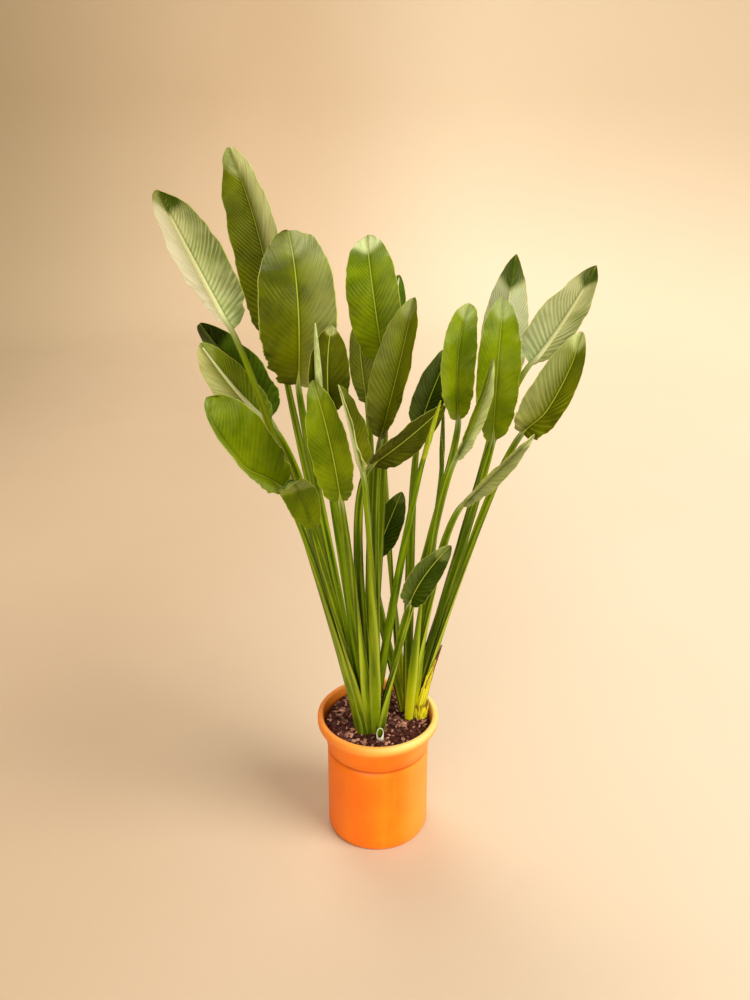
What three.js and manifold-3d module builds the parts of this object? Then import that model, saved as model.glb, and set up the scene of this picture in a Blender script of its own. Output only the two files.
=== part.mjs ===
// Potted bird of paradise: two clumps of long-stalked leaves in a round plastic nursery pot.
// Millimetres, +Z up. The origin is the centre of the pot's flat bottom, and the side that
// the photograph shows faces -Y.
import * as THREE from 'three';
import { mergeVertices } from 'three/addons/utils/BufferGeometryUtils.js';
import Module from 'manifold-3d';

// ---------------------------------------------------------------- driving dimensions
const GAP = 0.3;                       // clearance between pieces that touch

const POT = {
  height: 262,
  baseRadius: 102,                     // body, just above the rounded bottom edge
  neckRadius: 101,                     // body, at the groove where the collar starts
  grooveHeight: 190,
  grooveDepth: 1.6,
  grooveHalfHeight: 4,
  collarRadius: 111,                   // top of the flared collar, under the lip
  collarHeight: 241,
  flare: [[0.35, 0.5], [0.78, 0.85]],  // collar outline: shares of its radius and height gained
  lipRadius: 120,
  lipRound: 6,                         // rounding of the lip's outer edges
  mouthRadius: 108.5,
  lipSeam: 236,                        // the rolled lip is a ring of its own from here up
  wall: 3,
  floor: 5,
  edgeRadius: 6,
  drainHoles: 6,
  drainHoleRadius: 5,
  drainCircleRadius: 68,
  drainHoleSegments: 12,
  segments: 48,
};

const SOIL = {
  height: 244,                         // top of the bark mix, 18 mm below the rim
  crown: 3,                            // rise of the top towards the middle
  lump: 1.6,                           // height of the lumps of the top
  lumpLength: [9, 7],                  // their wavelengths along X and Y, over two pi
  edgeDrop: 3,                         // the top falls by this much over its last edgeWidth
  edgeWidth: 4,
  segments: 48,                        // the pot's, so that the facets face each other
};

const SOIL_TOP = SOIL.height + SOIL.crown + SOIL.lump;

const STALK = {
  depth: 22,                           // length of a foot in its socket in the soil
  footHalf: [6.6, 4.8],                // half width and half depth at the soil
  middleHalf: [6.2, 4.8],
  neckHalf: [3.7, 3.3],                // just below the blade
  rise: 0.08,                          // share of the length over which it leaves upright
  approach: 0.16,                      // share over which it turns into the midrib
  socketGrowth: 1.3,                   // the socket's sides are this many gaps wider
  sides: 7,
  steps: 9,
};

const BLADE = {
  thickness: 2.4,                      // at the midrib
  edgeThickness: 1.3,
  neckHalfWidth: 3.9,
  tipHalfWidth: 1.2,
  squareness: 2.5,                     // higher makes the margins run more nearly parallel
  bluntness: 0.6,                      // lower is blunter at both ends
  widest: 0.8,                         // lower puts the widest part nearer the stalk
  flatten: 0.45,                       // share of the fold lost from midrib to margin
  neckFold: 22,                        // extra fold at the neck, in degrees
  neckShare: 0.3,                      // share of the blade over which that fold opens
  maximumFold: 80,
  across: 4,
  steps: 10,
};

// Each leaf: where its stalk leaves the soil, three points along its midrib (blade base, middle
// and tip), the blade's width, the direction in plan that its upper side faces (0 is the photo's
// side, 90 is +X), the tilt of that direction, and the half angle of its V fold, in degrees.
const FRONT_LEAVES = [
  { foot: [-50, -40], base: [-235, -60, 1040], middle: [-280, -95, 1155], tip: [-310, -165, 1260],
    width: 98, face: 156, fold: 20, tone: 'pale' },
  { foot: [-38, -5], base: [-175, 110, 970], middle: [-205, 125, 1155], tip: [-260, 190, 1305],
    width: 102, face: -18, fold: 26, tone: 'olive' },
  { foot: [-34, -30], base: [-130, -70, 955], middle: [-125, -90, 1095], tip: [-150, 60, 1180],
    width: 124, face: 0, fold: 12, approach: 0.08, tone: 'olive' },
  { foot: [-50, -16], base: [-190, 10, 870], middle: [-240, 10, 950], tip: [-290, -35, 1045],
    width: 92, face: 150, fold: 20, tone: 'dark' },
  { foot: [-50, -28], base: [-185, -25, 870], middle: [-235, -45, 935], tip: [-280, -95, 1025],
    width: 72, face: 200, fold: 20, tone: 'pale' },
  { foot: [-42, -54], base: [-160, -110, 785], middle: [-220, -150, 890], tip: [-265, -150, 955],
    width: 96, face: 20, tilt: 48, fold: 18, tone: 'bright' },
  { foot: [-28, -54], base: [-110, -112, 714], middle: [-134, -132, 800], tip: [-149, -176, 811],
    width: 60, face: 180, fold: 20, tone: 'bright' },
  { foot: [-34, -42], base: [-78, -120, 922], middle: [-79, -130, 998], tip: [-72, -125, 1062],
    width: 70, face: 20, fold: 14, tone: 'dark' },
  { foot: [-14, -54], base: [-60, -170, 790], middle: [-75, -185, 895], tip: [-100, -160, 985],
    width: 68, face: -10, fold: 18, tone: 'olive' },
  { foot: [0, -54], base: [-25, -190, 850], middle: [-40, -195, 920], tip: [-60, -185, 985],
    width: 48, face: 70, fold: 35, tone: 'pale' },
  { foot: [-20, -18], base: [9, 40, 962], middle: [-9, 25, 1088], tip: [-20, 130, 1162],
    width: 90, face: -5, fold: 12, tone: 'olive' },
  { foot: [-24, -6], base: [-20, 75, 880], middle: [-30, 75, 955], tip: [-35, 90, 1030],
    width: 46, face: 10, fold: 18, tone: 'dark' },
  { foot: [8, -30], base: [5, -20, 845], middle: [35, -30, 975], tip: [60, 5, 1080],
    width: 84, face: -35, fold: 40, tone: 'olive' },
  { foot: [-6, -30], base: [-10, -60, 810], middle: [50, -80, 865], tip: [110, -60, 915],
    width: 58, face: 0, tilt: -30, fold: 16, tone: 'olive' },
  { foot: [8, -42], base: [135, -40, 885], middle: [130, -55, 1000], tip: [155, 30, 1065],
    width: 60, face: 0, fold: 24, approach: 0.12, tone: 'bright' },
  { foot: [14, -54], base: [57, -75, 550], middle: [82, -90, 614], tip: [126, -85, 670],
    width: 55, face: -10, fold: 14, tone: 'dark' },
];

const REAR_LEAVES = [
  { foot: [46, 39], base: [10, 190, 895], middle: [25, 200, 985], tip: [40, 235, 1080],
    width: 64, face: 195, fold: 16, tone: 'dark' },
  { foot: [58, 27], base: [76, 65, 833], middle: [97, 60, 905], tip: [131, 75, 981],
    width: 60, face: -20, fold: 18, tone: 'dark' },
  { foot: [72, 30], base: [225, 150, 855], middle: [235, 170, 990], tip: [245, 150, 1130],
    width: 90, face: 170, fold: 16, tone: 'pale' },
  { foot: [74, 15], base: [200, -5, 835], middle: [200, -20, 985], tip: [215, 60, 1070],
    width: 76, face: 5, fold: 12, approach: 0.06, tone: 'bright' },
  { foot: [60, -11], base: [130, -65, 820], middle: [165, -70, 910], tip: [185, -60, 995],
    width: 36, face: 10, fold: 55, tone: 'pale' },
  { foot: [87, 28], base: [260, 15, 965], middle: [305, 0, 1040], tip: [340, -55, 1140],
    width: 88, face: 200, fold: 18, tone: 'pale' },
  { foot: [89, 5], base: [240, -70, 870], middle: [281, -80, 943], tip: [332, -35, 1032],
    width: 76, face: -20, fold: 30, tone: 'olive' },
  { foot: [75, 5], base: [145, -80, 745], middle: [199, -96, 813], tip: [252, -114, 882],
    width: 46, face: 0, fold: 62, tone: 'olive' },
  { foot: [44, 27], base: [-5, 75, 570], middle: [20, 72, 640], tip: [45, 75, 705],
    width: 56, face: 0, fold: 16, tone: 'dark' },
];

// Young leaves, still rolled: the blade is a narrow roll and one piece with its stalk.
const SPEARS = [
  { name: 'front_spear_left', foot: [-20, -42], base: [-90, -150, 945], tip: [-95, -150, 1070],
    radius: 7, tone: 'pale' },
  { name: 'front_spear_right', foot: [-6, -42], base: [75, -95, 835], tip: [100, -100, 935],
    radius: 6, tone: 'bright' },
  { name: 'rear_spear', foot: [61, 16], base: [115, 30, 770], tip: [115, 30, 880],
    radius: 6, tone: 'dark' },
];

const SPEAR_ROLL = {
  steps: 6,
  swell: 3,                            // the roll is full width after one part in this many
  pointed: 1.02,                       // nearer to 1 makes the tip sharper
  depthShare: 0.8,                     // depth of the roll over its width
};

// A dried leaf sheath that still stands around the front of the rear clump.
const OLD_SHEATH = {
  centre: [82, 8],
  radii: [15.5, 10.5],
  flare: 5,                            // how much wider the top is
  thickness: 1.4,
  depth: 8,                            // length below the top of the soil
  height: 44,
  tear: 10,                            // depth of the tears in the top edge
  tearPitch: 2.2,                      // radians from one point of the edge to the next
  from: -125,                          // degrees around the centre
  to: 25,
  slotGrowth: 3,                       // degrees by which its slot in the soil is longer
  steps: 10,
};

// The hollow base left where an old leaf was cut off, in front of the front clump.
const CUT_STUB = {
  centre: [4, -67],
  half: [7, 5.2],
  wall: 1.6,
  depth: 8,
  height: 18,
  lean: 4,                             // how far the top stands out to the front
  sides: 12,
};

const TONES = {
  olive: '#6f7a0c',
  bright: '#8a9a08',
  dark: '#33470c',
  pale: '#9dad68',
  stalk: '#6c8616',
  oldSheath: '#9c8b3a',
  cutBase: '#d9dcae',
  pot: '#f57c00',
  soil: '#4a241a',
};

// ---------------------------------------------------------------- small helpers
const wasm = await Module();
wasm.setup();

const vector = (numbers) => new THREE.Vector3(...numbers);
const radians = THREE.MathUtils.degToRad;
const mix = THREE.MathUtils.lerp;

function material(tone, roughness) {
  return new THREE.MeshStandardMaterial({ color: TONES[tone], roughness, metalness: 0 });
}

function addMesh(parent, name, geometry, meshMaterial) {
  const mesh = new THREE.Mesh(geometry, meshMaterial);
  mesh.name = name;
  parent.add(mesh);
}

function toManifold(geometry) {
  const plain = geometry.clone();
  plain.deleteAttribute('normal');
  plain.deleteAttribute('uv');
  const merged = mergeVertices(plain, 1e-4);
  return new wasm.Manifold(new wasm.Mesh({
    numProp: 3,
    vertProperties: Float32Array.from(merged.attributes.position.array),
    triVerts: Uint32Array.from(merged.index.array),
  }));
}

function fromManifold(solid) {
  const mesh = solid.getMesh();
  const geometry = new THREE.BufferGeometry();
  geometry.setAttribute('position', new THREE.BufferAttribute(mesh.vertProperties, 3));
  geometry.setIndex(new THREE.BufferAttribute(mesh.triVerts, 1));
  geometry.computeVertexNormals();
  return geometry;
}

// A closed solid through rings of equally many points, with a fan of triangles on each end.
function loft(rings) {
  const count = rings[0].length;
  const points = rings.flat();
  const triangles = [];
  for (let ring = 0; ring + 1 < rings.length; ring += 1) {
    for (let side = 0; side < count; side += 1) {
      const next = (side + 1) % count;
      const a = ring * count + side;
      const b = ring * count + next;
      triangles.push(a, b, b + count, a, b + count, a + count);
    }
  }
  const addCap = (ring, flip) => {
    const centre = new THREE.Vector3();
    rings[ring].forEach((point) => centre.addScaledVector(point, 1 / count));
    const hub = points.push(centre) - 1;
    for (let side = 0; side < count; side += 1) {
      const a = ring * count + side;
      const b = ring * count + ((side + 1) % count);
      triangles.push(...(flip ? [hub, b, a] : [hub, a, b]));
    }
  };
  addCap(0, true);
  addCap(rings.length - 1, false);
  const geometry = new THREE.BufferGeometry().setFromPoints(points);
  geometry.setIndex(triangles);
  geometry.computeVertexNormals();
  return geometry;
}

// Points along a curve, each with its tangent and a pair of cross directions that are carried
// along without twisting. The first `up` direction is the one given, squared to the curve.
function carryFrames(curve, steps, firstUp) {
  const up = firstUp.clone();
  return Array.from({ length: steps + 1 }, (_, step) => {
    const point = curve.getPoint(step / steps);
    const tangent = curve.getTangent(step / steps);
    up.addScaledVector(tangent, -up.dot(tangent)).normalize();
    const side = new THREE.Vector3().crossVectors(up, tangent);
    return { point, tangent, up: up.clone(), side, along: step / steps };
  });
}

// ---------------------------------------------------------------- stalks
function midribCurve(leaf) {
  const base = vector(leaf.base);
  const tip = vector(leaf.tip);
  const control = vector(leaf.middle).multiplyScalar(2);
  control.addScaledVector(base, -0.5).addScaledVector(tip, -0.5);
  return new THREE.QuadraticBezierCurve3(base, control, tip);
}

// From the soil upright, then bending over into the direction in which the blade starts.
function stalkCurve(foot, end, endDirection, approach = STALK.approach) {
  const start = new THREE.Vector3(foot[0], foot[1], SOIL_TOP);
  const length = start.distanceTo(end);
  const first = start.clone().add(new THREE.Vector3(0, 0, STALK.rise * length));
  const second = end.clone().addScaledVector(endDirection, -approach * length);
  return new THREE.CubicBezierCurve3(start, first, second, end);
}

function ellipseRing(frame, halfWidth, halfDepth, sides = STALK.sides) {
  return Array.from({ length: sides }, (_, index) => {
    const angle = (2 * Math.PI * (index + 0.5)) / sides;
    return frame.point.clone()
      .addScaledVector(frame.side, halfWidth * Math.cos(angle))
      .addScaledVector(frame.up, halfDepth * Math.sin(angle));
  });
}

function stalkHalf(along, axis) {
  const { footHalf, middleHalf, neckHalf } = STALK;
  return along < 0.5
    ? mix(footHalf[axis], middleHalf[axis], Math.sqrt(along * 2))
    : mix(middleHalf[axis], neckHalf[axis], along * 2 - 1);
}

function footFrame(foot, height) {
  return {
    point: new THREE.Vector3(foot[0], foot[1], height),
    side: new THREE.Vector3(1, 0, 0),
    up: new THREE.Vector3(0, 1, 0),
  };
}

function stalkRings(foot, end, endDirection, approach) {
  const curve = stalkCurve(foot, end, endDirection, approach);
  const frames = carryFrames(curve, STALK.steps, new THREE.Vector3(0, 1, 0));
  const rings = frames.map((frame) => {
    return ellipseRing(frame, stalkHalf(frame.along, 0), stalkHalf(frame.along, 1));
  });
  const [halfWidth, halfDepth] = STALK.footHalf;
  rings.unshift(ellipseRing(footFrame(foot, SOIL.height - STALK.depth), halfWidth, halfDepth));
  return rings;
}

function stalkGeometry(leaf) {
  const direction = midribCurve(leaf).getTangent(0);
  const end = vector(leaf.base).addScaledVector(direction, -GAP);
  return loft(stalkRings(leaf.foot, end, direction, leaf.approach));
}

// The hollow in the soil that a foot stands in, GAP wider and deeper than the foot.
function socketGeometry(foot) {
  const [halfWidth, halfDepth] = STALK.footHalf;
  const grow = STALK.socketGrowth * GAP;
  const heights = [SOIL.height - STALK.depth - GAP, SOIL_TOP + GAP];
  return loft(heights.map((height) => {
    return ellipseRing(footFrame(foot, height), halfWidth + grow, halfDepth + grow);
  }));
}

// ---------------------------------------------------------------- blades
function bladeHalfWidth(width, along) {
  const fromWidest = Math.abs(2 * along ** BLADE.widest - 1);
  const swell = Math.max(0, 1 - fromWidest ** BLADE.squareness) ** BLADE.bluntness;
  const least = mix(BLADE.neckHalfWidth, BLADE.tipHalfWidth, along);
  return Math.max(least, 0.5 * width * swell);
}

// Offset of a place across the blade from the midrib: sideways, and towards the upper side.
function crossSection(halfWidth, foldAngle, across) {
  const share = Math.abs(across);
  const lean = foldAngle * (1 - 0.5 * BLADE.flatten * share);
  return {
    sideways: Math.sign(across) * halfWidth * share * Math.cos(lean),
    lift: halfWidth * share * Math.sin(lean),
  };
}

function bladeRing(frame, leaf) {
  const halfWidth = bladeHalfWidth(leaf.width, frame.along);
  const neck = Math.max(0, 1 - frame.along / BLADE.neckShare);
  const foldAngle = radians(Math.min(BLADE.maximumFold, leaf.fold + BLADE.neckFold * neck));
  const upper = [];
  const lower = [];
  for (let index = 0; index <= BLADE.across; index += 1) {
    const across = (2 * index) / BLADE.across - 1;
    const { sideways, lift } = crossSection(halfWidth, foldAngle, across);
    const thickness = mix(BLADE.thickness, BLADE.edgeThickness, Math.abs(across));
    const middle = frame.point.clone()
      .addScaledVector(frame.side, sideways)
      .addScaledVector(frame.up, lift);
    upper.push(middle.clone().addScaledVector(frame.up, thickness / 2));
    lower.push(middle.clone().addScaledVector(frame.up, -thickness / 2));
  }
  return [...lower, ...upper.reverse()];
}

function facing(leaf) {
  const azimuth = radians(leaf.face);
  const tilt = radians(leaf.tilt ?? 0);
  return new THREE.Vector3(
    Math.sin(azimuth) * Math.cos(tilt),
    -Math.cos(azimuth) * Math.cos(tilt),
    Math.sin(tilt),
  );
}

function bladeGeometry(leaf) {
  const frames = carryFrames(midribCurve(leaf), BLADE.steps, facing(leaf));
  return loft(frames.map((frame) => bladeRing(frame, leaf)));
}

// ---------------------------------------------------------------- rolled young leaves
function spearGeometry(spear) {
  const base = vector(spear.base);
  const tip = vector(spear.tip);
  const direction = tip.clone().sub(base).normalize();
  const rings = stalkRings(spear.foot, base, direction);
  const curve = stalkCurve(spear.foot, base, direction);
  const neck = carryFrames(curve, STALK.steps, new THREE.Vector3(0, 1, 0)).pop();
  for (let step = 1; step <= SPEAR_ROLL.steps; step += 1) {
    const along = step / SPEAR_ROLL.steps;
    const full = mix(STALK.neckHalf[1], spear.radius, Math.min(1, along * SPEAR_ROLL.swell));
    const radius = full * Math.sqrt(SPEAR_ROLL.pointed - along);
    const frame = { ...neck, point: base.clone().lerp(tip, along) };
    rings.push(ellipseRing(frame, radius, SPEAR_ROLL.depthShare * radius));
  }
  return loft(rings);
}

// ---------------------------------------------------------------- remains of old leaves
// The sheath itself, or with a gap to grow by, the slot in the soil that it stands in.
function sheathGeometry(grow) {
  const { centre, radii, flare, thickness, depth, height, tear, tearPitch } = OLD_SHEATH;
  const { from, to, slotGrowth, steps } = OLD_SHEATH;
  const extra = grow > 0 ? slotGrowth : 0;
  const rings = Array.from({ length: steps + 1 }, (_, step) => {
    const angle = radians(mix(from - extra, to + extra, step / steps));
    const top = SOIL.height + height - tear * (0.5 + 0.5 * Math.sin(tearPitch * step));
    const place = (outwards, z) => new THREE.Vector3(
      centre[0] + (radii[0] + outwards) * Math.cos(angle),
      centre[1] + (radii[1] + outwards) * Math.sin(angle),
      z,
    );
    return [
      place(flare - grow, top),
      place(thickness + flare + grow, top),
      place(thickness + grow, SOIL.height - depth - grow),
      place(-grow, SOIL.height - depth - grow),
    ];
  });
  return loft(rings);
}

function stubFrame(height) {
  const [x, y] = CUT_STUB.centre;
  const outwards = CUT_STUB.lean * Math.max(0, height) / CUT_STUB.height;
  return footFrame([x, y - outwards], SOIL.height + height);
}

function stubGeometry(grow) {
  const { half, depth, height, sides } = CUT_STUB;
  return loft([-depth - grow, 0, height].map((level) => {
    return ellipseRing(stubFrame(level), half[0] + grow, half[1] + grow, sides);
  }));
}

function hollowStubGeometry() {
  const { half, wall, height, sides } = CUT_STUB;
  const hollow = loft([SOIL.crown, height + wall].map((level) => {
    return ellipseRing(stubFrame(level), half[0] - wall, half[1] - wall, sides);
  }));
  return fromManifold(toManifold(stubGeometry(0)).subtract(toManifold(hollow)));
}

// ---------------------------------------------------------------- pot and soil
const asProfile = (points) => points.map(([radius, z]) => new THREE.Vector2(radius, z));

// Points of a rounding of the given radius about a centre, between two angles in degrees.
function rounding(centre, radius, from, to, steps = 3) {
  return Array.from({ length: steps + 1 }, (_, step) => {
    const angle = radians(mix(from, to, step / steps));
    return [centre[0] + radius * Math.cos(angle), centre[1] + radius * Math.sin(angle)];
  });
}

// The collar's outline, from just above the groove to just under the lip.
function collarPoints(inwards = 0) {
  const { neckRadius, collarRadius, grooveHeight, collarHeight, flare } = POT;
  return flare.map(([widening, rise]) => [
    mix(neckRadius, collarRadius, widening) - inwards,
    mix(grooveHeight, collarHeight, rise),
  ]);
}

function potProfile() {
  const { baseRadius, neckRadius, edgeRadius, wall, floor, height } = POT;
  const { grooveHeight, grooveDepth, grooveHalfHeight } = POT;
  const { collarRadius, collarHeight, lipRadius, lipRound, mouthRadius } = POT;
  const grooveRadius = neckRadius - grooveDepth;
  const grooveFlat = grooveHalfHeight / 4;
  const lipCentre = lipRadius - lipRound;
  return asProfile([
    [0, 0],
    ...rounding([baseRadius - edgeRadius, edgeRadius], edgeRadius, -90, 0),
    [neckRadius, grooveHeight - grooveHalfHeight],
    [grooveRadius, grooveHeight - grooveFlat],
    [grooveRadius, grooveHeight + grooveFlat],
    [neckRadius, grooveHeight + grooveHalfHeight],
    ...collarPoints(),
    [collarRadius, collarHeight],
    ...rounding([lipCentre, collarHeight + lipRound], lipRound, -60, 0, 2),
    ...rounding([lipCentre, height - lipRound], lipRound, 0, 90),
    ...rounding([mouthRadius + wall, height - wall], wall, 120, 180, 2),
    [collarRadius - wall, collarHeight],
    ...collarPoints(wall).reverse(),
    [grooveRadius - wall, grooveHeight],
    [baseRadius - grooveDepth - wall, floor + edgeRadius],
    [baseRadius - edgeRadius - wall, floor],
    [0, floor],
  ]);
}

// A lathe turns about Y, so it is stood up to turn about Z.
function turned(profile, segments) {
  return new THREE.LatheGeometry(profile, segments).rotateX(Math.PI / 2);
}

function drilledPot() {
  const { drainHoles, drainHoleRadius, drainCircleRadius, drainHoleSegments, floor, segments } = POT;
  let pot = toManifold(turned(potProfile(), segments));
  for (let index = 0; index < drainHoles; index += 1) {
    const angle = (2 * Math.PI * index) / drainHoles;
    const drill = new THREE.CylinderGeometry(
      drainHoleRadius,
      drainHoleRadius,
      4 * floor,
      drainHoleSegments,
    );
    drill.rotateX(Math.PI / 2);
    drill.translate(drainCircleRadius * Math.cos(angle), drainCircleRadius * Math.sin(angle), 0);
    pot = pot.subtract(toManifold(drill));
  }
  return pot;
}

// What lies between two heights of the whole pot.
function potSlice(pot, from, to) {
  const across = 3 * POT.lipRadius;
  const slab = new THREE.BoxGeometry(across, across, to - from);
  slab.translate(0, 0, (from + to) / 2);
  return fromManifold(pot.intersect(toManifold(slab)));
}

// The soil follows the inside of the pot, GAP away, and its top is a low, lumpy dome.
function soilProfile() {
  const { baseRadius, neckRadius, edgeRadius, grooveHeight, grooveDepth, wall, floor } = POT;
  const inside = wall + GAP;
  const collar = collarPoints(inside);
  const topRadius = collar[1][0];
  const dome = [[2 / 3, 0.4], [1 / 3, 0.8], [0, 1]];
  return asProfile([
    [0, floor + GAP],
    [baseRadius - edgeRadius - inside, floor + GAP],
    [baseRadius - grooveDepth - inside, floor + edgeRadius + GAP],
    [neckRadius - grooveDepth - inside, grooveHeight],
    ...collar,
    [topRadius, SOIL.height - SOIL.edgeDrop],
    [topRadius - SOIL.edgeWidth, SOIL.height],
    ...dome.map(([out, up]) => [out * topRadius, SOIL.height + up * SOIL.crown]),
  ]);
}

function soilGeometry(feet) {
  const lathe = turned(soilProfile(), SOIL.segments);
  const places = lathe.attributes.position;
  const [alongX, alongY] = SOIL.lumpLength;
  for (let index = 0; index < places.count; index += 1) {
    const z = places.getZ(index);
    if (z > SOIL.height - GAP) {
      const lump = Math.sin(places.getX(index) / alongX) * Math.cos(places.getY(index) / alongY);
      places.setZ(index, z + SOIL.lump * lump);
    }
  }
  let soil = toManifold(lathe);
  const sockets = [...feet.map(socketGeometry), sheathGeometry(GAP), stubGeometry(GAP)];
  sockets.forEach((socket) => {
    soil = soil.subtract(toManifold(socket));
  });
  return fromManifold(soil);
}

// ---------------------------------------------------------------- assembly
const group = new THREE.Group();
const feet = [...FRONT_LEAVES, ...REAR_LEAVES, ...SPEARS].map((leaf) => leaf.foot);

const pot = drilledPot();
addMesh(group, 'pot', potSlice(pot, -GAP, POT.lipSeam), material('pot', 0.4));
addMesh(group, 'pot_lip', potSlice(pot, POT.lipSeam + GAP, 2 * POT.height), material('pot', 0.4));
addMesh(group, 'soil', soilGeometry(feet), material('soil', 0.95));

function addClump(clumpName, leaves) {
  leaves.forEach((leaf, index) => {
    const name = `${clumpName}_leaf_${String(index + 1).padStart(2, '0')}`;
    addMesh(group, `${name}_stalk`, stalkGeometry(leaf), material('stalk', 0.5));
    addMesh(group, `${name}_blade`, bladeGeometry(leaf), material(leaf.tone, 0.45));
  });
}

addClump('front', FRONT_LEAVES);
addClump('rear', REAR_LEAVES);
SPEARS.forEach((spear) => {
  addMesh(group, spear.name, spearGeometry(spear), material(spear.tone, 0.45));
});
addMesh(group, 'old_sheath', sheathGeometry(0), material('oldSheath', 0.8));
addMesh(group, 'cut_leaf_base', hollowStubGeometry(), material('cutBase', 0.6));

export default group;
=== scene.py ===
import math

import bpy
import numpy as np
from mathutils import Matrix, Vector


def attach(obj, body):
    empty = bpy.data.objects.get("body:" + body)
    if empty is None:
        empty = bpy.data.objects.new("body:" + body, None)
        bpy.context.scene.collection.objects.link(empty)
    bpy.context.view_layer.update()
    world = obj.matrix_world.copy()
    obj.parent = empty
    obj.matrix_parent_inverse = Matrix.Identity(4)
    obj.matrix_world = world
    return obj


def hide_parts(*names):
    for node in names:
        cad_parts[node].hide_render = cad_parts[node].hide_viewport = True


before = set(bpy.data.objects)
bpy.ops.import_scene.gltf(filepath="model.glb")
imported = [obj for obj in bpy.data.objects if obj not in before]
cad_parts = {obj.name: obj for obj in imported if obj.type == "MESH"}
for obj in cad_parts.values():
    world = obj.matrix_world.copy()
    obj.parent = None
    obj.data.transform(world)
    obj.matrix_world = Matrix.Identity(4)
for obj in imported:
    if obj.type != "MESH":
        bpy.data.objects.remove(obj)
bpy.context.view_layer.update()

MM = 0.001
TURN = 2 * math.pi

# -------- the frame's own numbers, in mm
SOIL_TOP = 248.6            # the stalks' lines start here
SOIL_HEIGHT = 244.0         # height of the mix
NECK_GAP = 0.3              # from a stalk's end to its blade
STALK_RISE, STALK_APPROACH = 0.08, 0.16
NECK_HALF_WIDTH, TIP_HALF_WIDTH = 3.9, 1.2
SQUARENESS, BLUNTNESS, WIDEST = 2.5, 0.6, 0.8
FLATTEN, NECK_FOLD, NECK_SHARE, MAXIMUM_FOLD = 0.45, 22.0, 0.3, 80.0

# A leaf's row starts as in the frame: its foot on the soil, the base, middle and tip of its blade,
# its width, the direction that its upper side faces, its fold, and its tone.
# FRONT 7 has its own face and fold here, FRONT 16 its own fold, and REAR 8 its own width.
LEAF_KEYS = ("foot", "base", "middle", "tip", "width", "face", "fold", "tone")

# Then comes what differs from these. All but the first two are of the looks alone. A row may have
# `look` too: the tone of its material where that isn't its own.
PLAIN = dict(
    tilt=0,                 # of the direction that the upper side faces, in degrees
    approach=STALK_APPROACH,  # how long the stalk runs in line with the blade
    shade=0.0,              # all of the blade is paler or, if negative, darker: partly its own tone, partly painted light and shade
    tip_shade=(0.85, 0.2),  # where the tip's painted sheen starts, and how much it is; below zero it is painted shade
    halves=(0.0, 0.0),      # painted light and shade of the left and right half in the photograph's view, growing towards the margin
    point=0.15,             # how pointed the tip is
    crumple=2.6,            # waves at the base, in mm
    ripple=3.0,             # waves along the margins, in mm
    vein=1.0,               # height and contrast of the side veins
    aside=0.0,              # how far the midrib lies to one side
    rib=1.0,                # how light the midrib is above
    keel=1.0,               # how light the midrib is below
    stout=1.0,              # how thick the stalk is
)


def leaf_row(*values, **looks):
    return {**PLAIN, "look": values[-1], **dict(zip(LEAF_KEYS, values)), **looks}


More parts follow.
